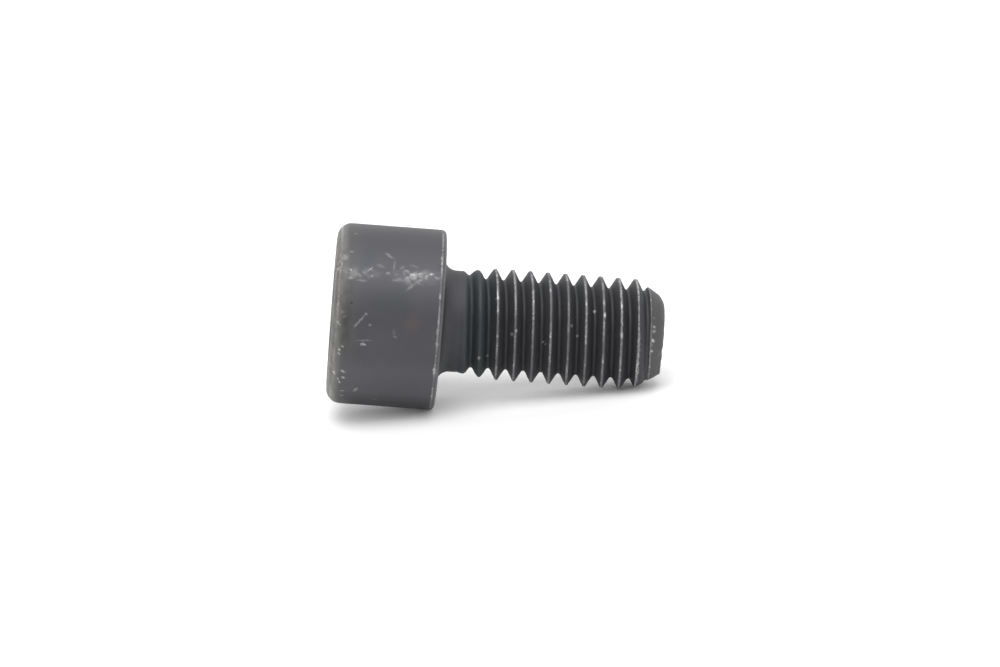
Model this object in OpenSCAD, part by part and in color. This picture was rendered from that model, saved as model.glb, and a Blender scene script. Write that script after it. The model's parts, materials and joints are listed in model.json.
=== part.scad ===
// Socket head cap screw with a right-hand rolled thread.
// It lies on a table as it comes to rest: on the rim of its head and on its last full turn of thread.
// Its axis lies in the XZ plane, with the head towards -X and the tip towards +X.
// In the screw's own frame the axis is Z, zero is the head's underside, and +Z points to the tip.

/* [Head] */

// Diameter of the round head
head_d = 12.8; // [12:0.1:14]
// Height of the head
head_h = 7.7; // [7:0.1:9]
// Rounding of the head's edge at the end with the socket
head_round = 1; // [0.3:0.1:1.2]
// Rounding of the head's edge next to the shank
rim_round = 0.35; // [0.15:0.05:0.6]

/* [Socket] */

// Width of the hex socket across its flats
socket_af = 6; // [4.5:0.5:6.5]
// Depth of the socket's flats
socket_depth = 4.2; // [3:0.1:4.6]
// Slope of the drilled floor under the flats
socket_floor_angle = 30; // [15:1:35]
// Width that the chamfer of the mouth adds beyond the socket's corners
socket_chamfer = 0.15; // [0.05:0.05:0.4]
// Slope of that chamfer from the end face
socket_chamfer_angle = 30; // [20:1:50]

/* [Shank] */

// Length from the head's underside to the end of the tip
shank_l = 15.8; // [12:0.1:20]
// Diameter of the plain neck, which is the blank before its thread is rolled
neck_d = 7.2; // [7:0.05:7.4]
// Radius of the fillet between the neck and the head
fillet_r = 0.9; // [0.3:0.1:1]

/* [Thread] */

// Outside diameter of the thread
thread_d = 7.88; // [7.7:0.02:8]
// Distance from one crest to the next
pitch = 1.25; // [1.1:0.05:1.4]
// Angle between the two flanks of a groove
flank_angle = 60; // [50:1:65]
// Distance from the head's underside to where the first groove begins
thread_start = 1.3; // [1.2:0.1:2.5]
// Length in which the first groove reaches its full depth
groove_runout = 1.5; // [0.8:0.1:2.5]
// Length in which the first crest reaches its full height
crest_runout = 2.6; // [1:0.1:3.5]
// Turn of the thread about the axis
thread_turn = 160; // [0:1:359]

/* [Tip] */

// Slope of the tip's chamfer against the axis
tip_angle = 32; // [28:0.5:42]
// Diameter where the chamfer would meet the flat end
tip_d = 5.35; // [4.2:0.05:5.5]
// Rounding between the chamfer and the flat end
tip_round = 1.15; // [0.3:0.05:1.3]

/* [Hidden] */

black_oxide = [0.13, 0.13, 0.14];
head_r = head_d / 2;
neck_r = neck_d / 2;
thread_r = thread_d / 2;
tip_r = tip_d / 2;
// The plain neck ends shortly before the first groove
neck_l = thread_start - 0.1;
// Turn of the head's seam
seam_turn = 20.25;
// How far the rolled length reaches into the neck, and how far it lies inside the neck's wall there
lap_l = 0.4;
lap_step = 0.02;

// The socket's inscribed radius, and its radius to the corners
socket_flat_r = socket_af / 2;
socket_corner_r = socket_flat_r / cos(30);
socket_mouth_r = socket_corner_r + socket_chamfer;
socket_floor_r = 0.96 * socket_flat_r;

// Thread form: a flat crest an eighth of the pitch wide, straight flanks and a rounded root
flank_slope = tan(flank_angle / 2);
crest_half = pitch / 16;
root_half = pitch / 8;
flank_depth = (pitch / 2 - crest_half - root_half) / flank_slope;
root_round = root_half / cos(flank_angle / 2);
root_centre = flank_depth - root_round * sin(flank_angle / 2);
root_low_half = root_round * sin(20);
root_low_depth = root_centre + root_round * cos(20);
root_r = thread_r - root_low_depth;

// The rolled length runs from inside the neck to where the chamfer has passed the roots
roll_from = neck_l - lap_l;
roll_to = shank_l - (root_r - 0.08 - tip_r) / tan(tip_angle);
// Steps round one turn, half a step, points across one groove, and the least distance from a row to an end ring
turn_steps = 40;
half_step = 180 / turn_steps;
form_points = 6;
end_gap = 0.06;
turn_share = thread_turn / 360;
first_turn = floor(roll_from / pitch - turn_share) - 2;
last_turn = ceil(roll_to / pitch - turn_share) + 1;
rows = (last_turn - first_turn) * form_points;

// The rounding of the tip: its centre, and where it meets the chamfer and the flat end
tip_run = tip_round * tan((90 - tip_angle) / 2);
tip_round_at = [tip_r - tip_run, shank_l - tip_round];

// Radius of the tip's chamfer at a distance from the head
function chamfer_r(s) = tip_r + (shank_l - s) * tan(tip_angle);

// Radius that the rolled length may not pass
function limit_r(s) = min(thread_r, chamfer_r(s) + lap_step);

// Share of the full groove and of the full crest, which grow out of the plain neck
function share(s, run) = max(0, min(1, (s - thread_start) / run));
function groove_share(s) = 1 - pow(1 - share(s, groove_runout), 2);
function crest_share(s) = share(s, crest_runout);

// Radius at a distance from the head and a depth below the crest
function rolled_r(s, depth) =
    let (
        full = thread_r - depth - neck_r,
        grown = full > 0 ? full * crest_share(s) : full * groove_share(s)
    )
    min(neck_r - lap_step + grown, limit_r(s));

// Half the crest's width, which grows where the chamfer has cut the crest down
function cut_crest_half(s) =
    min(crest_half + (thread_r - limit_r(s)) * flank_slope, pitch / 2 - root_half - 0.03);

// One point of the thread form as its offset along the axis from the crest and its depth
function form_point(j, crest_s) =
    j == 0 ? [-cut_crest_half(crest_s), 0] :
    j == 1 ? [cut_crest_half(crest_s), 0] :
    j == 2 ? [pitch / 2 - root_half, flank_depth] :
    j == 3 ? [pitch / 2 - root_low_half, root_low_depth] :
    j == 4 ? [pitch / 2 + root_low_half, root_low_depth] :
    [pitch / 2 + root_half, flank_depth];

// The angle of a step: the lowest line of the lying screw runs halfway between two steps
function step_angle(step) = 360 * step / turn_steps + half_step;

// A row of the helix at an angular step, as its radius and its distance from the head
function helix_point(step, row) =
    let (
        turn = first_turn + floor(row / form_points),
        crest_s = pitch * (turn + turn_share + step_angle(step) / 360),
        form = form_point(row % form_points, crest_s),
        s = crest_s + form[0]
    )
    [rolled_r(s, form[1]), s];

function turned(step, r, s) =
    let (a = step_angle(step))
    [r * cos(a), r * sin(a), s];

// The angle at which the lying screw would touch the table at one point of its lowest lines
function touch_angle(point) =
    let (
        drop = head_r - rim_round - point[0],
        reach = point[1] + rim_round
    )
    atan2(drop, reach) + asin(rim_round / norm([drop, reach]));

// How the screw lies: its tilt, its height, and its middle along X
low_lines = [for (step = [-1, 0]) for (row = [0 : rows - 1]) helix_point(step, row)];
low_points = [for (p = low_lines) if (p[1] > neck_l && p[1] < roll_to) [p[0] * cos(half_step), p[1]]];
tilt = min([for (p = low_points) touch_angle(p)]);
lift = (head_r - rim_round) * cos(tilt) - rim_round * sin(tilt) + rim_round;
left_x = (head_round - head_h) * cos(tilt) - (head_r - head_round) * sin(tilt) - head_round;
right_x = tip_round_at[1] * cos(tilt) + tip_round_at[0] * sin(tilt) + tip_round;
middle_x = (left_x + right_x) / 2;

// What a rounding takes off a square corner
module corner_waste(r) {
    difference() {
        square(r + 0.5);
        circle(r);
    }
}

// Head, fillet and neck, turned about the axis, with their seam away from the table
module head_and_neck() {
    rotate(seam_turn) rotate_extrude() {
        difference() {
            union() {
                translate([0, -head_h])
                    square([head_r, head_h]);
                square([neck_r, neck_l]);
                difference() {
                    square([neck_r + fillet_r, fillet_r]);
                    translate([neck_r + fillet_r, fillet_r])
                        circle(fillet_r);
                }
            }
            translate([head_r - rim_round, -rim_round])
                corner_waste(rim_round);
            translate([head_r - head_round, head_round - head_h])
                mirror([0, 1])
                    corner_waste(head_round);
        }
    }
}

// Hex hole with a drilled floor and a chamfered mouth
module socket() {
    translate([0, 0, -head_h - 1])
        rotate(30)
            cylinder(r = socket_corner_r, h = socket_depth + 1, $fn = 6);
    translate([0, 0, socket_depth - head_h - 0.05])
        cylinder(r1 = socket_floor_r, r2 = 0, h = socket_floor_r * tan(socket_floor_angle));
    translate([0, 0, -head_h - 0.5])
        cylinder(
            r1 = socket_mouth_r + 0.5 / tan(socket_chamfer_angle),
            r2 = 0,
            h = socket_mouth_r * tan(socket_chamfer_angle) + 0.5
        );
}

// The rolled length: a helical groove that grows out of the neck and is cut by the tip's chamfer
module rolled_thread() {
    grid = [
        for (step = [0 : turn_steps - 1])
            for (row = [0 : rows - 1])
                let (p = helix_point(step, row))
                turned(step, p[0], p[1])
    ];
    near_ring = [
        for (step = [0 : turn_steps - 1])
            turned(step, rolled_r(roll_from, 0), roll_from)
    ];
    far_ring = [
        for (step = [0 : turn_steps - 1])
            turned(step, limit_r(roll_to), roll_to)
    ];
    near_at = len(grid);
    far_at = near_at + turn_steps;

    function index(step, row) =
        let (
            s = helix_point(step, row)[1],
            column = step % turn_steps,
            full_row = row + (step == turn_steps ? form_points : 0)
        )
        s < roll_from + end_gap ? near_at + column :
        s > roll_to - end_gap ? far_at + column :
        column * rows + full_row;

    walls = [
        for (step = [0 : turn_steps - 1])
            for (row = [0 : rows - 2])
                let (
                    a = index(step, row),
                    b = index(step, row + 1),
                    c = index(step + 1, row + 1),
                    d = index(step + 1, row)
                )
                each [[a, b, c], [a, c, d]]
    ];
    near_face = [for (step = [0 : turn_steps - 1]) near_at + step];
    far_face = [for (step = [turn_steps - 1 : -1 : 0]) far_at + step];
    sound = [for (f = walls) if (f[0] != f[1] && f[1] != f[2] && f[2] != f[0]) f];
    polyhedron(points = concat(grid, near_ring, far_ring), faces = concat(sound, [near_face, far_face]));
}

// The plain end of the chamfer with its rounded edge and flat end
module tip() {
    rotate_extrude() {
        difference() {
            polygon([
                [0, roll_to - lap_l],
                [chamfer_r(roll_to), roll_to - lap_l],
                [chamfer_r(roll_to), roll_to],
                [tip_r, shank_l],
                [0, shank_l]
            ]);
            difference() {
                polygon([
                    tip_round_at,
                    [tip_round_at[0], shank_l + 1],
                    [tip_r + 1, shank_l + 1],
                    tip_round_at + 3 * tip_round * [cos(tip_angle), sin(tip_angle)]
                ]);
                translate(tip_round_at)
                    circle(tip_round);
            }
        }
    }
}

module screw() {
    color(black_oxide)
        translate([-middle_x, 0, lift])
            rotate([0, 90 + tilt, 0]) {
                difference() {
                    head_and_neck();
                    socket();
                }
                rolled_thread();
                tip();
            }
}

screw();
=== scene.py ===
import json
import math

import bmesh
import bpy
from mathutils import Matrix, Vector, noise


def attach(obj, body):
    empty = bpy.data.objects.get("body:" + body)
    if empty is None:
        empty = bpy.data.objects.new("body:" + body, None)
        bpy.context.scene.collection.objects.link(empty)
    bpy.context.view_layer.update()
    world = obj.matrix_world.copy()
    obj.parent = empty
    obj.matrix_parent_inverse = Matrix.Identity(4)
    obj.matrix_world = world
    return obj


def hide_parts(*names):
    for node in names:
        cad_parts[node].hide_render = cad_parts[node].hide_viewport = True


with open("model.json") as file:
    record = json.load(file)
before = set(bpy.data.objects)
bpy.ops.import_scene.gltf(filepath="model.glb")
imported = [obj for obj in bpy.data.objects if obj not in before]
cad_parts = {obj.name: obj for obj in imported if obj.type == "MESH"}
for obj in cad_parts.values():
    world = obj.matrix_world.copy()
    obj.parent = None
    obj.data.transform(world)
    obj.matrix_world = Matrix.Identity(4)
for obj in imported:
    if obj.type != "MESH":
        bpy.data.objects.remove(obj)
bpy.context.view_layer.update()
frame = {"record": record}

# The screw is one piece of alloy steel, with a forged head, a punched hex socket and a rolled thread,
# hardened and blackened with oxide. It lies loose on the rim of its head and on its last full turn.
# Sizes are in mm in its own frame: Z is the axis, zero the head's underside, +Z to the tip, +X down.
bearing_face = next(mount for mount in frame["record"]["mounts"] if mount["name"] == "bearing_face")
axis = Vector(bearing_face["axis"])
middle = Vector(bearing_face["pos_m"])
lean = math.pi / 2 + math.atan2(-axis.z, axis.x)

# Head and neck, spun round the axis from half of their outline
HEAD_R = 6.4
HEAD_H = 7.7
HEAD_ROUND = 1.0
RIM_ROUND = 0.35
NECK_R = 3.6
NECK_L = 1.2
FILLET_R = 0.9
SOCKET_FLAT_R = 3.0
SOCKET_CHAMFER = 0.15
SOCKET_MOUTH_R = SOCKET_FLAT_R / math.cos(math.radians(30)) + SOCKET_CHAMFER
SOCKET_DEPTH = 4.2
SOCKET_FLOOR_R = 0.96 * SOCKET_FLAT_R
SOCKET_SLOPE = math.tan(math.radians(30))
STEPS_ROUND = 216
LONGEST_EDGE = 0.14
ROUND_SEGMENTS = 10
RIM_SEGMENTS = 6


def wire(bm, points):
    """A chain of edges through points given as a radius and a distance from the head's underside."""
    chain = [bm.verts.new((radius, 0, along)) for radius, along in points]
    for pair in zip(chain, chain[1:]):
        bm.edges.new(pair)
    return chain


def round_off(bm, corner, radius, turn, segments):
    """Rounds a corner at which a chain turns by an angle."""
    bmesh.ops.bevel(bm, geom=[corner], offset=radius * math.tan(turn / 2), offset_type="OFFSET",
                    segments=segments, profile=0.5, affect="VERTICES", material=-1)


def divide(bm, longest):
    """Cuts every edge of a chain into equal lengths."""
    for edge in bm.edges[:]:
        cuts = math.ceil(edge.calc_length() / longest) - 1
        if cuts > 0:
            bmesh.ops.subdivide_edges(bm, edges=[edge], cuts=cuts)


def spin_round(bm, lead=0):
    """Spins a chain once round the axis: a closed turn, or one that climbs by a lead."""
    bmesh.ops.spin(bm, geom=bm.verts[:] + bm.edges[:], cent=(0, 0, 0), axis=(0, 0, 1),
                   dvec=(0, 0, lead / STEPS_ROUND), angle=math.tau, steps=STEPS_ROUND, use_merge=not lead)


head = bmesh.new()
corners = wire(head, [(SOCKET_MOUTH_R, -HEAD_H), (HEAD_R, -HEAD_H), (HEAD_R, 0), (NECK_R, 0),
                      (NECK_R, NECK_L)])
round_off(head, corners[1], HEAD_ROUND, math.pi / 2, ROUND_SEGMENTS)
round_off(head, corners[2], RIM_ROUND, math.pi / 2, RIM_SEGMENTS)
round_off(head, corners[3], FILLET_R, math.pi / 2, ROUND_SEGMENTS)
divide(head, LONGEST_EDGE)
spin_round(head)


# Hex socket, drawn in from the edge of its mouth: chamfer, six flats and drilled floor
def polar(co):
    """The radius and the angle of a point about the axis."""
    return math.hypot(co.x, co.y), math.atan2(co.y, co.x)


def at_polar(radius, turn, along):
    return Vector((radius * math.cos(turn), radius * math.sin(turn), along))


def draw_in(edges, place):
    """Extrudes a ring of edges and puts each new point where a function of its old place says."""
    out = bmesh.ops.extrude_edge_only(head, edges=edges)["geom"]
    for v in (g for g in out if isinstance(g, bmesh.types.BMVert)):
        v.co = place(v.co)
    return [g for g in out if isinstance(g, bmesh.types.BMEdge) and g.is_boundary]


def on_hexagon(co):
    """The place where the chamfer meets the six flats, in the direction of a point."""
    turn = polar(co)[1]
    from_flat = (turn + math.pi / 6) % (math.pi / 3) - math.pi / 6
    radius = SOCKET_FLAT_R / math.cos(from_flat)
    return at_polar(radius, turn, (SOCKET_MOUTH_R - radius) * SOCKET_SLOPE - HEAD_H)


def add_to(whole, bm):
    """Joins a finished bmesh to the whole screw."""
    piece = bpy.data.meshes.new("piece")
    bm.to_mesh(piece)
    bm.free()
    whole.from_mesh(piece)
    bpy.data.meshes.remove(piece)


mouth = [e for e in head.edges if e.is_boundary and all(v.co.z < -HEAD_H / 2 for v in e.verts)]
ring = draw_in(mouth, on_hexagon)
ring = draw_in(ring, lambda co: Vector((co.x, co.y, SOCKET_DEPTH - HEAD_H)))
ring = draw_in(ring, lambda co: at_polar(SOCKET_FLOOR_R, polar(co)[1], SOCKET_DEPTH - HEAD_H))
draw_in(ring, lambda co: Vector((0, 0, SOCKET_DEPTH - HEAD_H + SOCKET_FLOOR_R * SOCKET_SLOPE)))
whole = bmesh.new()
add_to(whole, head)

# Thread: one turn is spun up its lead and repeated, then grown out of the neck and cut by the tip's chamfer
THREAD_R = 3.94
PITCH = 1.25
FLANK_SLOPE = math.tan(math.radians(30))
CREST_HALF = PITCH / 16
ROOT_ROUND = PITCH / 8 / math.cos(math.radians(30))
THREAD_START = 1.3
GROOVE_RUNOUT = 1.5
CREST_RUNOUT = 2.6
THREAD_TURN = math.radians(160)
TURNS = 15
TURNS_IN_HEAD = 2
ROOT_SEGMENTS = 5
FLANK_EDGE = 0.17
MERGE_WITHIN = 0.002
SHANK_L = 15.8
TIP_ANGLE = math.radians(32)
TIP_R = 2.675
ROLL_TO = 15.11
thread = bmesh.new()
first_crest = PITCH * (THREAD_TURN / math.tau - TURNS_IN_HEAD)
sharp_depth = (PITCH / 2 - CREST_HALF) / FLANK_SLOPE
corners = wire(thread, [(THREAD_R, first_crest - CREST_HALF), (THREAD_R, first_crest + CREST_HALF),
                        (THREAD_R - sharp_depth, first_crest + PITCH / 2),
                        (THREAD_R, first_crest + PITCH - CREST_HALF)])
round_off(thread, corners[2], ROOT_ROUND, math.radians(120), ROOT_SEGMENTS)
divide(thread, FLANK_EDGE)
spin_round(thread, PITCH)
one_turn = thread.verts[:] + thread.edges[:] + thread.faces[:]
for turn_number in range(1, TURNS):
    copy = bmesh.ops.duplicate(thread, geom=one_turn)["geom"]
    bmesh.ops.translate(thread, vec=(0, 0, turn_number * PITCH),
                        verts=[g for g in copy if isinstance(g, bmesh.types.BMVert)])


def grown_share(along, runout):
    return min(max((along - THREAD_START) / runout, 0), 1)


def rolled_r(along, full_r):
    """The radius at a distance from the head, for a point that has a given radius in the full thread."""
    proud = full_r - NECK_R
    if proud > 0:
        proud *= grown_share(along, CREST_RUNOUT)
    else:
        proud *= 1 - (1 - grown_share(along, GROOVE_RUNOUT)) ** 2
    return min(NECK_R + proud, TIP_R + (SHANK_L - along) * math.tan(TIP_ANGLE))


for v in thread.verts:
    full_r, turn = polar(v.co)
    along = min(max(v.co.z, NECK_L), ROLL_TO)
    v.co = at_polar(rolled_r(along, full_r), turn, along)
bmesh.ops.remove_doubles(thread, verts=thread.verts, dist=MERGE_WITHIN)
add_to(whole, thread)

# Tip: the chamfer's plain end and the uneven sheared face, rounded between, with a sharper corner below
TIP_ROUND = 1.15
SHARP_CORNER = math.radians(-14)
UNEVEN = 0.05
UNEVEN_SCALE = 1.7
FACE_DEPTH = 0.3
tip = bmesh.new()
corners = wire(tip, [(rolled_r(ROLL_TO, THREAD_R), ROLL_TO), (TIP_R, SHANK_L), (0, SHANK_L)])
round_off(tip, corners[1], TIP_ROUND, math.pi / 2 - TIP_ANGLE, ROUND_SEGMENTS)
divide(tip, LONGEST_EDGE)
spin_round(tip)
round_r = TIP_R - TIP_ROUND * math.tan((math.pi / 2 - TIP_ANGLE) / 2)
round_s = SHANK_L - TIP_ROUND
for v in tip.verts:
    radius, turn = polar(v.co)
    out_r, out_s = (radius - round_r) / TIP_ROUND, (v.co.z - round_s) / TIP_ROUND
    if out_r > 0 and out_s > math.sin(TIP_ANGLE):
        to_flat = TIP_ROUND / out_s
        to_chamfer = TIP_ROUND / (out_r * math.cos(TIP_ANGLE) + out_s * math.sin(TIP_ANGLE))
        sharp = max(math.cos(turn - SHARP_CORNER), 0) ** 2
        reach = TIP_ROUND + sharp * (min(to_flat, to_chamfer) - TIP_ROUND)
        v.co = at_polar(round_r + out_r * reach, turn, round_s + out_s * reach)
    if v.co.z > SHANK_L - FACE_DEPTH:
        v.co.z -= UNEVEN * abs(noise.noise(UNEVEN_SCALE * v.co))
add_to(whole, tip)
bmesh.ops.remove_doubles(whole, verts=whole.verts, dist=MERGE_WITHIN)
bmesh.ops.recalc_face_normals(whole, faces=whole.faces)
whole.normal_update()

# Dents of use on the head and the tip's edge: distance from the underside and angle, reach and depth
DENTS = [
    ((-7.45, -138), 0.5, 0.12),
    ((-7.4, -62), 0.4, 0.05),
    ((-7.3, -54), 0.35, 0.05),
    ((-7.5, -96), 0.4, 0.06),
    ((-2.35, -131.7), 0.45, 0.03),
    ((-1.1, -132.8), 0.4, 0.03),
    ((-2.9, -126.5), 0.45, 0.02),
    ((-6.6, -131), 0.45, 0.03),
    ((-5.5, -131), 0.45, 0.02),
    ((-5.45, -84.6), 0.35, 0.04),
    ((-5.7, -47.5), 0.35, 0.03),
    ((-0.25, -97), 0.35, 0.05),
    ((-0.25, -72), 0.4, 0.05),
    ((-0.2, -140), 0.45, 0.05),
    ((-7.4, 60), 0.6, 0.08),
    ((-0.2, 95), 0.5, 0.07),
    ((-7.5, 155), 0.5, 0.07),
    ((15.7, -73), 0.35, 0.08),
    ((15.7, -52), 0.3, 0.06),
    ((15.7, 80), 0.4, 0.08),
]
for (dent_along, dent_degrees), reach, depth in DENTS:
    skin_from = HEAD_R - HEAD_ROUND if dent_along < 0 else TIP_R / 2
    for v in whole.verts:
        radius, turn = polar(v.co)
        if radius > skin_from and abs(v.co.z - dent_along) < reach:
            apart = (turn - math.radians(dent_degrees) + math.pi) % math.tau - math.pi
            off_centre = math.hypot(v.co.z - dent_along, radius * apart) / reach
            if off_centre < 1:
                v.co -= depth * (1 - off_centre * off_centre) ** 2 * v.normal

# The finished mesh, put where the screw lies
SHARP_FROM = math.radians(38)
whole.transform(Matrix.Translation(middle) @ Matrix.Rotation(lean, 4, "Y") @ Matrix.Scale(0.001, 4))
mesh = bpy.data.meshes.new("cap_screw")
whole.to_mesh(mesh)
whole.free()
mesh.shade_smooth()
mesh.set_sharp_from_angle(angle=SHARP_FROM)
cap_screw = bpy.data.objects.new("cap_screw", mesh)
bpy.context.scene.collection.objects.link(cap_screw)


class Shade:
    """A socket of a node tree. Sums of sockets, and of sockets with numbers, add the tree's Math nodes."""

    def __init__(self, tree, socket=None):
        self.tree = tree
        self.socket = socket

    def node(self, kind, settings, sockets, output=0):
        """Adds a node. Its settings come first, then the values or links of its sockets."""
        node = self.tree.nodes.new("ShaderNode" + kind)
        for name, value in settings.items():
            setattr(node, name, value)
        for key, value in sockets.items():
            if isinstance(value, Shade):
                self.tree.links.new(value.socket, node.inputs[key])
            else:
                node.inputs[key].default_value = value
        return Shade(self.tree, node.outputs[output])

    def beside(self, output):
        """Another output of the node that this socket belongs to."""
        return Shade(self.tree, self.socket.node.outputs[output])

    def math(self, operation, *values):
        return self.node("Math", {"operation": operation}, dict(enumerate(values)))

    def __add__(self, other):
        return self.math("ADD", self, other)

    def __radd__(self, other):
        return self.math("ADD", other, self)

    def __sub__(self, other):
        return self.math("SUBTRACT", self, other)

    def __rsub__(self, other):
        return self.math("SUBTRACT", other, self)

    def __mul__(self, other):
        return self.math("MULTIPLY", self, other)

    def __rmul__(self, other):
        return self.math("MULTIPLY", other, self)

    def __truediv__(self, other):
        return self.math("DIVIDE", self, other)

    def __pow__(self, other):
        return self.math("POWER", self, other)

    def __abs__(self):
        return self.math("ABSOLUTE", self)

    def most(self, other):
        return self.math("MAXIMUM", self, other)

    def rise(self, low, high):
        """A smooth step from 0 at one value to 1 at a higher one."""
        return self.node("MapRange", {"interpolation_type": "SMOOTHSTEP"}, {0: self, 1: low, 2: high})

    def near(self, value, full, gone):
        """1 within a distance of a value, falling smoothly to 0 further off."""
        return 1 - abs(self - value).rise(full, gone)

    def noise(self, scale, detail):
        return self.node("TexNoise", {}, {"Vector": self, "Scale": scale, "Detail": detail})

    def blend(self, other, mask):
        """This colour, with another where a mask says."""
        return self.node("Mix", {"data_type": "RGBA"}, {0: mask, 6: self, 7: other}, 2)


# The finish is read in the screw's own frame, as a distance along the axis, a radius and an angle
black_oxide = bpy.data.materials.new("black_oxide_steel")
black_oxide.use_nodes = True
tree = black_oxide.node_tree
shader = tree.nodes["Principled BSDF"]
start = Shade(tree)
seen = start.node("TexCoord", {}, {}, "Object")
place = start.node("Mapping", {"vector_type": "TEXTURE"}, {
    "Vector": seen, "Location": middle, "Rotation": (0, lean, 0), "Scale": (0.001, 0.001, 0.001)})
x = start.node("SeparateXYZ", {}, {0: place})
y, along = x.beside("Y"), x.beside("Z")
radius = (x * x + y * y) ** 0.5
around = start.math("ARCTAN2", y, x)

broad = place.noise(0.25, 3.0)
tint = place.noise(0.22, 2.0)
patchy = place.noise(0.55, 2.0)
mottle = place.noise(1.3, 4.0)
fleck = place.noise(3.1, 1.5)
speck = place.noise(6.5, 1.0)
grain = place.noise(9.0, 3.0)
on_head = 1 - along.rise(0.0, 0.06)
on_side = on_head * radius.rise(HEAD_R - 1.0, HEAD_R - 0.7)
on_shank = along.rise(0.1, 0.5)
on_thread = along.rise(NECK_L, NECK_L + 1.0)
at_tip = along.rise(14.1, 15.1)
# Painted light: the low side of the head is made paler, a painted reflection of the ground.
low_side_painted_sheen = around.near(math.radians(-56), math.radians(8), math.radians(24)) * on_head
# Painted shade: the underside of the head is made darker, where the shadow on the ground reflects in it.
underside_painted_shade = around.near(0, math.radians(25), math.radians(50)) * on_head

# Wear along both edges of the head: a broken bright line with a strip of thin oxide beside it
edge_turn = start.math("ARCTAN2", radius - (HEAD_R - HEAD_ROUND), HEAD_ROUND - HEAD_H - along)
edge_turn = edge_turn + 0.3 * (fleck - 0.5)
at_end = 1 - along.rise(HEAD_ROUND - HEAD_H - 0.3, HEAD_ROUND - HEAD_H)
at_end = at_end * radius.rise(HEAD_R - HEAD_ROUND - 0.3, HEAD_R - HEAD_ROUND + 0.2)
end_line = edge_turn.near(0.78, 0.02, 0.15) * at_end
end_wear = 0.07 + patchy.rise(0.42, 0.6) * (0.15 + 0.4 * speck.rise(0.52, 0.64))
end_wear = end_wear * end_line * (1 - 0.75 * low_side_painted_sheen)
end_strip = 0.4 + 0.35 * mottle.rise(0.4, 0.62) + 0.25 * fleck.rise(0.38, 0.62)
end_strip = end_strip * at_end * (1 - edge_turn.rise(0.8, 1.55))
end_rust = around.near(math.radians(-121), math.radians(6), math.radians(18)) * fleck.rise(0.4, 0.6)
end_rust = end_rust * end_line
end_shade = along.near(-6.8, 0.1, 0.55) * around.near(math.radians(-102), math.radians(12), math.radians(32))
end_shade = end_shade * on_side * mottle.rise(0.35, 0.6)
rim_line = (along + 0.08 * (fleck - 0.5)).near(0.05 - RIM_ROUND, 0.02, 0.1)
rim_line = rim_line * radius.rise(HEAD_R - 0.12, HEAD_R - 0.04)
rim_wear = rim_line * (0.1 + 0.2 * patchy.rise(0.4, 0.6) + 0.35 * fleck.rise(0.55, 0.7))
rim_strip = along.rise(-0.25, -0.05) * on_head
rim_strip = rim_strip * radius.rise(HEAD_R - RIM_ROUND - 0.1, HEAD_R - RIM_ROUND + 0.1)
mouth_wear = (1 - along.rise(0.1 - HEAD_H, 0.35 - HEAD_H)) * (0.05 + 0.16 * patchy.rise(0.42, 0.62))
mouth_wear = mouth_wear * (1 - radius.rise(SOCKET_MOUTH_R, SOCKET_MOUTH_R + 0.1))
face_wear = (0.05 * mottle.rise(0.45, 0.65)).most(0.14 * patchy.rise(0.42, 0.6) * fleck.rise(0.5, 0.68))
face_wear = face_wear * (1 - along.rise(0.03 - HEAD_H, 0.1 - HEAD_H))

# Wear along the crests of the thread, most on the last turns, and broadest low on the last full crest
from_crest = PITCH * (start.math("FRACT", along / PITCH - (around + THREAD_TURN) / math.tau + 0.5) - 0.5)
crest_r = start.math("MINIMUM", THREAD_R, TIP_R + (SHANK_L - along) * math.tan(TIP_ANGLE))
crest_half = CREST_HALF + (THREAD_R - crest_r) * FLANK_SLOPE
last_crest = along.near(13.9, 0.3, 0.6) * around.near(math.radians(-70), math.radians(23), math.radians(52))
past_edge = from_crest + crest_half + (0.12 + 0.3 * last_crest) * (fleck - 0.5) - 0.1 * last_crest
crest = (radius - crest_r).rise(-0.1, -0.03) * (1 - past_edge.rise(0.06, 0.17))
crest = crest * along.rise(2.2, 3.6) * (1 - along.rise(ROLL_TO - 0.1, ROLL_TO + 0.05))
worn = (0.12 + 0.88 * patchy.rise(0.42, 0.6)).most(0.9 * along.rise(11.6, 12.6))
worn = worn + 0.5 * along.rise(13.3, 13.8)
crest_wear = 0.11 + worn * (0.11 + 0.2 * fleck.rise(0.44, 0.64) + 0.5 * speck.rise(0.56, 0.7))
crest_wear = crest_wear * crest * (1 - 0.45 * along.rise(14.2, 14.6))
# Painted shade in the roots of the thread, deepest at the bottom of each groove.
groove_shade = (1 - (radius - (THREAD_R - 0.76)).rise(0.03, 0.35)) * along.rise(THREAD_START, THREAD_START + 0.8)
groove_shade = groove_shade * (1 - along.rise(14.5, 14.9))

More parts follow.
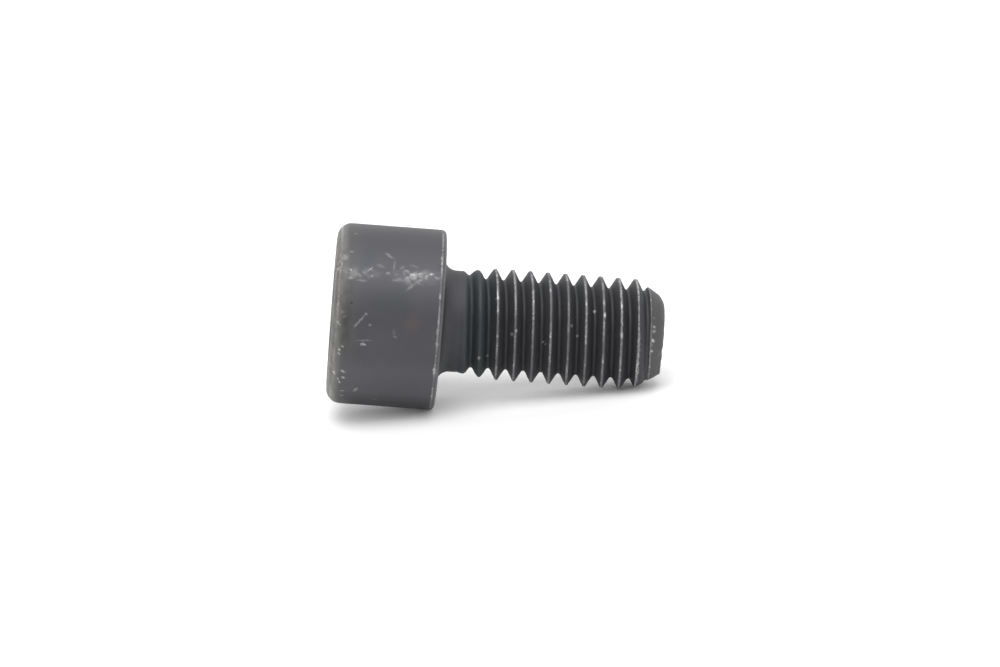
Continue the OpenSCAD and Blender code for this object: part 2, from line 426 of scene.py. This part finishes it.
# Scratches, scuffs and chips on the head, each drawn between two places that are given as a distance from
# the underside and an angle in degrees, with a width and a strength
HEAD_MARKS = [
    ((-3.72, -126.8), (-2.89, -128.1), 0.18, 0.3),
    ((-2.89, -128.1), (-2.33, -131.7), 0.16, 0.6),
    ((-2.42, -131.7), (-2.22, -132.0), 0.24, 1.0),
    ((-2.92, -135.0), (-2.46, -132.2), 0.16, 0.4),
    ((-3.28, -135.2), (-2.93, -137.4), 0.14, 0.22),
    ((-2.2, -132.4), (-1.49, -133.1), 0.14, 0.6),
    ((-1.48, -131.6), (-1.17, -131.4), 0.11, 0.6),
    ((-1.09, -133.1), (-0.96, -133.4), 0.17, 0.75),
    ((-0.86, -132.0), (-0.44, -129.2), 0.13, 0.35),
    ((-2.85, -120.3), (-1.8, -128.0), 0.16, 0.27),
    ((-2.29, -125.7), (-1.5, -129.5), 0.15, 0.34),
    ((-2.58, -138.6), (-1.95, -137.7), 0.15, 0.15),
    ((-6.75, -132.6), (-6.62, -131.6), 0.2, 0.55),
    ((-6.75, -126.4), (-6.48, -126.8), 0.14, 0.45),
    ((-5.53, -131.2), (-5.15, -135.6), 0.11, 0.5),
    ((-5.84, -132.3), (-5.56, -129.0), 0.15, 0.35),
    ((-5.27, -129.2), (-5.1, -128.9), 0.13, 0.4),
    ((-6.3, -125.4), (-5.45, -125.2), 0.13, 0.24),
    ((-4.8, -137.3), (-4.35, -135.8), 0.19, 0.17),
    ((-4.15, -131.8), (-3.93, -131.5), 0.17, 0.3),
    ((-4.36, -147.5), (-3.64, -142.4), 0.16, 0.3),
    ((-3.64, -142.4), (-3.66, -132.0), 0.15, 0.2),
    ((-6.26, -94.0), (-5.38, -104.6), 0.13, 0.5),
    ((-6.11, -95.9), (-5.95, -97.7), 0.13, 0.5),
    ((-5.46, -104.3), (-5.36, -104.2), 0.14, 0.5),
    ((-5.12, -97.3), (-5.02, -97.4), 0.14, 0.4),
    ((-5.61, -84.5), (-5.28, -84.7), 0.14, 1.0),
    ((-6.15, -86.6), (-4.65, -87.8), 0.09, 0.28),
    ((-3.38, -95.5), (-3.33, -91.6), 0.14, 0.14),
    ((-3.36, -91.2), (-3.2, -90.6), 0.14, 0.24),
    ((-7.1, -80.4), (-7.06, -79.2), 0.12, 1.0),
    ((-7.09, -77.2), (-7.03, -76.5), 0.1, 0.9),
    ((-6.91, -82.2), (-6.84, -82.1), 0.13, 0.6),
    ((-6.8, -64.7), (-6.59, -63.3), 0.16, 0.85),
    ((-6.66, -59.1), (-6.57, -58.7), 0.16, 0.75),
    ((-7.34, -61.3), (-7.28, -59.6), 0.13, 1.0),
    ((-7.04, -57.4), (-6.98, -55.9), 0.12, 0.9),
    ((-6.88, -54.6), (-6.85, -53.6), 0.11, 0.8),
    ((-7.5, -44.0), (-7.4, -38.0), 0.2, 0.4),
    ((-6.69, -38.5), (-6.6, -38.6), 0.15, 0.7),
    ((-7.2, -36.0), (-7.15, -35.0), 0.1, 0.6),
    ((-6.69, -45.3), (-6.55, -45.2), 0.14, 0.65),
    ((-7.34, -97.8), (-7.28, -96.6), 0.12, 0.8),
    ((-7.2, -96.9), (-7.16, -96.0), 0.1, 0.7),
    ((-7.12, -104.2), (-6.99, -104.0), 0.17, 0.2),
    ((-6.96, -101.4), (-6.79, -101.4), 0.17, 0.2),
    ((-5.83, -45.6), (-5.54, -49.6), 0.14, 0.8),
    ((-4.31, -36.1), (-4.15, -36.3), 0.13, 0.3),
    ((-6.55, -165.2), (-6.39, -165.0), 0.14, 0.3),
    ((-6.77, -146.0), (-6.61, -146.1), 0.14, 0.25),
    ((-7.57, -140.2), (-7.04, -141.9), 0.35, 0.4),
    ((-7.24, -143.5), (-7.12, -142.8), 0.17, 0.35),
    ((-7.62, -136.5), (-7.55, -135.0), 0.17, 0.8),
    ((-0.33, -98.0), (-0.31, -94.5), 0.16, 0.8),
    ((-0.32, -90.0), (-0.3, -87.0), 0.13, 0.7),
    ((-0.32, -73.0), (-0.28, -66.0), 0.19, 1.0),
    ((-0.32, -151.0), (-0.3, -140.0), 0.12, 0.6),
    ((-6.9, 20.0), (-4.2, 31.0), 0.11, 0.45),
    ((-3.1, 48.0), (-1.0, 43.0), 0.1, 0.35),
    ((-5.2, 71.0), (-4.9, 74.0), 0.17, 0.7),
    ((-2.4, 88.0), (-2.1, 90.0), 0.14, 0.6),
    ((-6.1, 112.0), (-3.4, 118.0), 0.1, 0.4),
    ((-5.0, 128.0), (-4.6, 127.0), 0.14, 0.5),
    ((-1.6, 139.0), (-0.7, 146.0), 0.11, 0.45),
    ((-6.8, 62.0), (-6.5, 60.0), 0.17, 0.6),
    ((-3.3, -12.0), (-2.2, -4.0), 0.11, 0.4),
]
head_unrolled = start.node("CombineXYZ", {}, {0: along + 0.24 * (place.noise(4.3, 3.0) - 0.5),
                                              1: around * HEAD_R + 0.24 * (place.noise(4.7, 3.0) - 0.5)})


def mark(unrolled, side_r, first, last, width, strength):
    """A mark on an unrolled side that thins out towards both its ends."""
    ends = [Vector((distance, math.radians(degrees) * side_r, 0)) for distance, degrees in (first, last)]
    run = ends[1] - ends[0]
    drawn = unrolled.node("Mapping", {"vector_type": "TEXTURE"}, {
        "Vector": unrolled, "Location": (ends[0] + ends[1]) / 2, "Rotation": (0, 0, math.atan2(run.y, run.x)),
        "Scale": (run.length / 2 + width, width, 1)})
    inside = drawn.node("TexGradient", {"gradient_type": "SPHERICAL"}, {0: drawn}, 1)
    return inside.node("MapRange", {"interpolation_type": "SMOOTHSTEP"}, {0: inside, 4: strength})


def marks(unrolled, side_r, lines):
    """The strongest of several marks."""
    strongest = mark(unrolled, side_r, *lines[0])
    for line in lines[1:]:
        strongest = strongest.most(mark(unrolled, side_r, *line))
    return strongest


SCUFFS = [((-3.7, -129.6), (-0.3, -131.2), 0.85, 1.0), ((-7.4, -129.5), (-4.7, -131.0), 0.7, 0.5)]
scratches = marks(head_unrolled, HEAD_R, HEAD_MARKS) * on_side * (0.6 + 0.4 * speck.rise(0.4, 0.6))
scuffs = marks(head_unrolled, HEAD_R, SCUFFS) * on_side
scuffs = scuffs * (0.25 + 0.75 * place.noise(2.1, 5.0).rise(0.46, 0.6))
pit = mark(head_unrolled, HEAD_R, (-6.48, -110.3), (-6.42, -110.3), 0.12, 1.0) * on_side
brown_spot = mark(head_unrolled, HEAD_R, (-2.3, -100.0), (-1.9, -100.5), 0.8, 0.4) * on_side
teal_patch = mark(head_unrolled, HEAD_R, (-4.2, -112.0), (-2.8, -114.0), 1.3, 0.5) * on_side

# Pale flecks and bright nicks on the thread, given in the same way
THREAD_MARKS = [
    ((2.8, -62.0), (2.84, -64.5), 0.17, 0.62),
    ((3.4, -57.5), (3.42, -59.0), 0.16, 0.5),
    ((3.74, -146.0), (3.8, -128.0), 0.1, 0.88),
    ((3.79, -133.0), (3.8, -130.5), 0.17, 1.0),
    ((3.95, -93.0), (3.97, -90.0), 0.13, 0.62),
    ((4.96, -93.0), (5.0, -95.0), 0.16, 0.75),
    ((5.25, -98.3), (5.27, -98.9), 0.16, 0.88),
    ((7.18, -83.5), (7.3, -88.0), 0.09, 0.8),
    ((7.36, -83.0), (7.44, -86.0), 0.08, 0.7),
    ((9.12, -107.5), (9.14, -108.5), 0.16, 0.75),
    ((9.6, -96.0), (9.64, -97.0), 0.13, 0.62),
    ((10.67, -129.0), (10.71, -131.0), 0.17, 0.75),
    ((11.41, -119.0), (11.42, -124.0), 0.16, 1.0),
    ((12.55, -138.0), (12.58, -128.0), 0.13, 1.0),
    ((12.66, -106.0), (12.69, -98.0), 0.17, 1.0),
    ((14.95, -127.5), (14.95, -126.0), 0.09, 0.35),
    ((14.96, -116.0), (15.02, -114.5), 0.14, 0.75),
    ((15.03, -110.5), (14.97, -108.5), 0.16, 0.6),
    ((14.9, -99.0), (15.0, -96.5), 0.19, 1.0),
    ((14.9, -92.5), (14.92, -91.5), 0.1, 0.35),
    ((14.92, -84.5), (14.96, -83.5), 0.14, 0.9),
]
thread_unrolled = start.node("CombineXYZ", {}, {0: along + 0.05 * (fleck - 0.5), 1: around * THREAD_R})
nicks = marks(thread_unrolled, THREAD_R, THREAD_MARKS) * on_shank

# Colours of the oxide where it is thin, dirty, tinted or browned, of the painted shade in the thread's roots,
# and of the steel where it is worn off
OXIDE = (0.0858, 0.0845, 0.0925)
TEAL_OXIDE = (0.061, 0.073, 0.077, 1)
DULL_OXIDE = (0.11, 0.109, 0.102, 1)
BROWN_OXIDE = (0.135, 0.108, 0.095, 1)
DARK_OXIDE = (0.052, 0.053, 0.049, 1)
TIP_OXIDE = (0.115, 0.1145, 0.113, 1)
THIN_OXIDE = (0.23, 0.226, 0.222, 1)
GROOVE_PAINTED_SHADE = (0.045, 0.045, 0.05, 1)
PIT_DIRT = (0.02, 0.02, 0.02, 1)
RUST = (0.2, 0.13, 0.115, 1)
BARE_STEEL = (0.56, 0.55, 0.54, 1)
# The tone is random variation, plus a painted reflection that makes the low side paler and painted shade that
# darkens the underside.
tone = 0.84 + 0.16 * broad + 0.16 * mottle + 0.24 * low_side_painted_sheen - 0.2 * underside_painted_shade
tone = tone * (1 - 0.14 * on_thread)
colour = start.node("CombineColor", {}, {channel: share * tone for channel, share in enumerate(OXIDE)})
teal = teal_patch.most(0.65 * along.near(2.6, 0.7, 1.5)).most(0.3 * tint.rise(0.5, 0.7))
colour = colour.blend(TEAL_OXIDE, teal)
colour = colour.blend(DULL_OXIDE, 0.55 * on_head * (1 - along.rise(-7.2, -5.4)))
colour = colour.blend(BROWN_OXIDE, brown_spot)
colour = colour.blend(TIP_OXIDE, at_tip * (0.6 + 0.5 * mottle))
# Painted shade darkens the roots of the thread.
colour = colour.blend(GROOVE_PAINTED_SHADE, 0.25 * groove_shade)
colour = colour.blend(THIN_OXIDE, (0.8 * end_strip).most(0.6 * rim_strip))
colour = colour.blend(DARK_OXIDE, 0.4 * end_shade).blend(PIT_DIRT, 0.8 * pit)
bare = end_wear.most(rim_wear).most(mouth_wear).most(face_wear).most(crest_wear)
bare = bare.most(0.7 * scratches).most(0.27 * scuffs).most(0.8 * nicks)
colour = colour.blend(BARE_STEEL, bare).blend(RUST, 0.6 * end_rust)
rough = 0.54 + 0.1 * mottle + 0.08 * on_shank - 0.1 * bare
bump = start.node("Bump", {}, {"Strength": 0.5, "Distance": 0.001, "Height": 0.006 * grain + 0.012 * mottle})
tree.links.new(colour.socket, shader.inputs["Base Color"])
tree.links.new(rough.socket, shader.inputs["Roughness"])
tree.links.new(bump.socket, shader.inputs["Normal"])
shader.inputs["Metallic"].default_value = 1
mesh.materials.append(black_oxide)
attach(cap_screw, "root")
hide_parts("screw")

# The ground is a plain matt white board, far wider than the picture.
# The screw lies loose on it, and it takes only a soft shadow.
GROUND_HALF = 1.5
ground_bm = bmesh.new()
bmesh.ops.create_grid(ground_bm, x_segments=1, y_segments=1, size=GROUND_HALF)
ground_mesh = bpy.data.meshes.new("ground")
ground_bm.to_mesh(ground_mesh)
ground_bm.free()
ground = bpy.data.objects.new("ground", ground_mesh)
bpy.context.scene.collection.objects.link(ground)
white_board = bpy.data.materials.new("white_board")
white_board.use_nodes = True
board = white_board.node_tree.nodes["Principled BSDF"]
board.inputs["Base Color"].default_value = (0.97, 0.97, 0.97, 1)
board.inputs["Roughness"].default_value = 1
board.inputs["Specular IOR Level"].default_value = 0
ground_mesh.materials.append(white_board)

# Light: a white room that is plain white to the eye, lights the ground from the front and the back, and
# shows in the steel with a paler ceiling, and one wide soft lamp overhead, a little towards the camera.
LAMP_AT = Vector((-0.04, -0.2, 0.46))
LAMP_SIDE = 0.4
LAMP_WATTS = 1.55
CEILING_WAY = (0, 0.5, 0.87)
GROUND_LIGHT = 2.4
WALLS_IN_STEEL = 0.8
CEILING_IN_STEEL = 1.55
world = bpy.data.worlds.new("white_room")
bpy.context.scene.world = world
world.use_nodes = True
background = world.node_tree.nodes["Background"]
background.inputs["Color"].default_value = (1, 1, 1, 1)
way = Shade(world.node_tree).node("TexCoord", {}, {}, "Generated")
way_y = way.node("SeparateXYZ", {}, {0: way}).beside("Y")
to_ceiling = way.node("VectorMath", {"operation": "DOT_PRODUCT"}, {0: way, 1: CEILING_WAY}, "Value")
eye = way.node("LightPath", {}, {}, "Is Camera Ray")
mirrored = eye.beside("Is Glossy Ray").most(eye.beside("Is Transmission Ray"))
falling = GROUND_LIGHT * abs(way_y).rise(0.1, 0.9)
in_steel = WALLS_IN_STEEL + (CEILING_IN_STEEL - WALLS_IN_STEEL) * to_ceiling.rise(0.1, 0.9)
room = falling + eye * (1 - falling) + mirrored * (in_steel - falling)
world.node_tree.links.new(room.socket, background.inputs["Strength"])
lamp_data = bpy.data.lights.new("overhead_lamp", "AREA")
lamp_data.shape = "SQUARE"
lamp_data.size = LAMP_SIDE
lamp_data.energy = LAMP_WATTS
lamp = bpy.data.objects.new("overhead_lamp", lamp_data)
lamp.location = LAMP_AT
lamp.rotation_euler = LAMP_AT.to_track_quat("Z", "Y").to_euler()
bpy.context.scene.collection.objects.link(lamp)
bpy.context.scene.view_settings.view_transform = "Standard"

# The camera looks down a little at the screw's side and is rolled so that the axis lies as in the picture.
# It has a long lens, and the middle of the head's underside falls on its pixel of the picture.
ELEVATION = math.radians(14)
AXIS_FALL = math.radians(4.25)
PIXELS_A_MM = 14.1
BEARING_PIXEL = Vector((440.2, 320.1))
IMAGE_SIZE = Vector((1000, 667))
camera_data = bpy.data.cameras.new("camera")
camera_data.lens = 200
camera_data.sensor_width = 36
camera_data.clip_start = 0.01
camera = bpy.data.objects.new("camera", camera_data)
bpy.context.scene.collection.objects.link(camera)
bpy.context.scene.camera = camera
level = Matrix.Rotation(math.pi / 2 - ELEVATION, 3, "X")
seen_axis = level.transposed() @ axis
roll = math.atan2(-seen_axis.y, seen_axis.x) - AXIS_FALL
turned = level @ Matrix.Rotation(-roll, 3, "Z")
metre_a_pixel = 0.001 / PIXELS_A_MM
from_centre = (BEARING_PIXEL - IMAGE_SIZE / 2) * metre_a_pixel
distance = camera_data.lens / camera_data.sensor_width * IMAGE_SIZE.x * metre_a_pixel
aim = middle - turned @ Vector((from_centre.x, -from_centre.y, 0))
camera.matrix_world = Matrix.Translation(aim + turned @ Vector((0, 0, distance))) @ turned.to_4x4()
